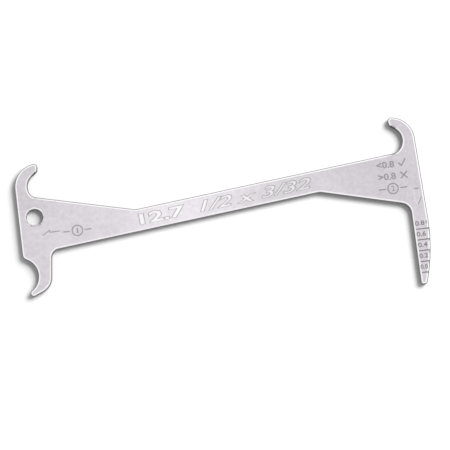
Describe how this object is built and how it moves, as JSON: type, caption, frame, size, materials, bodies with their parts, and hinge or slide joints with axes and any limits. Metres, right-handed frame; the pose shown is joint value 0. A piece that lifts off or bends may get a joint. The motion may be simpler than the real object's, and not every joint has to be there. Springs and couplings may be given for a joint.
{
  "type": "chain wear gauge",
  "caption": "Flat steel chain wear gauge with hooks at both ends, a slanted bar, a claw, a graduated measuring leg and a hanging hole.",
  "frame": {"origin": "middle of the plate's outline box, on the underside", "axes": "+X from the claw end to the measuring leg, +Y towards the side with the hooks, +Z out of the marked face"},
  "size_m": [0.0984, 0.0414, 0.002],
  "materials": {
    "gauge_plate": "satin"
  },
  "bodies": {
    "root": {"gauge_plate": "gauge_plate"}
  },
  "joints": []
}
